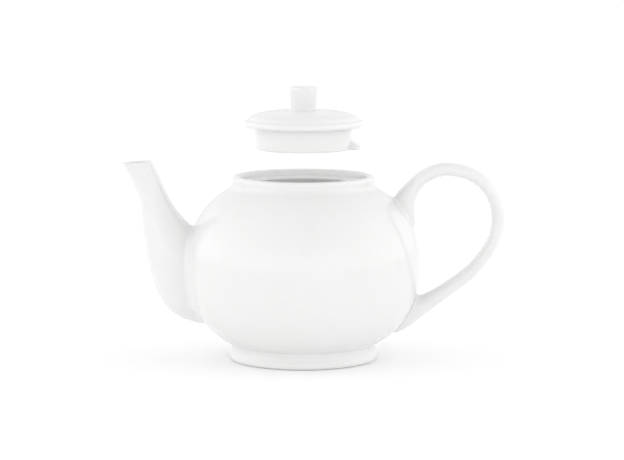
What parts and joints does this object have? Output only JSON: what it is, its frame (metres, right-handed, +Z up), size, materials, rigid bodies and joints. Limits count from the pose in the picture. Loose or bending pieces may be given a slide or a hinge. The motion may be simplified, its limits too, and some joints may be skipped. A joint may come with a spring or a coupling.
{
  "type": "teapot",
  "caption": "White porcelain teapot with a round belly, foot ring, swan-neck spout, loop handle, and a domed lift-off lid with a knob, a deep flange and a locking lug.",
  "frame": {"origin": "centre of the foot ring's resting face, on the pot's turning axis", "axes": "+Z up along the pot's turning axis, +X towards the handle, -X towards the spout, +Y to the far side"},
  "size_m": [0.2295, 0.14, 0.1641],
  "materials": {
    "porcelain": "gloss"
  },
  "bodies": {
    "pot": {"pot_body": "porcelain", "strainer": "porcelain", "foot_ring": "porcelain", "collar": "porcelain", "ledge": "porcelain", "spout": "porcelain", "handle": "porcelain"},
    "knob": {"lid_knob": "porcelain"},
    "lid": {"lid_cap": "porcelain", "lid_flange": "porcelain", "lid_lug": "porcelain"}
  },
  "joints": [
    {"name": "lid_lift", "type": "slide", "parent": "pot", "child": "knob", "axis": [0, 0, 1], "range_m": [-0.0327, 0.06]},
    {"name": "lid_turn", "type": "hinge", "parent": "knob", "child": "lid", "pos_m": [0, 0, 0.1498], "axis": [0, 0, 1], "continuous": true}
  ]
}
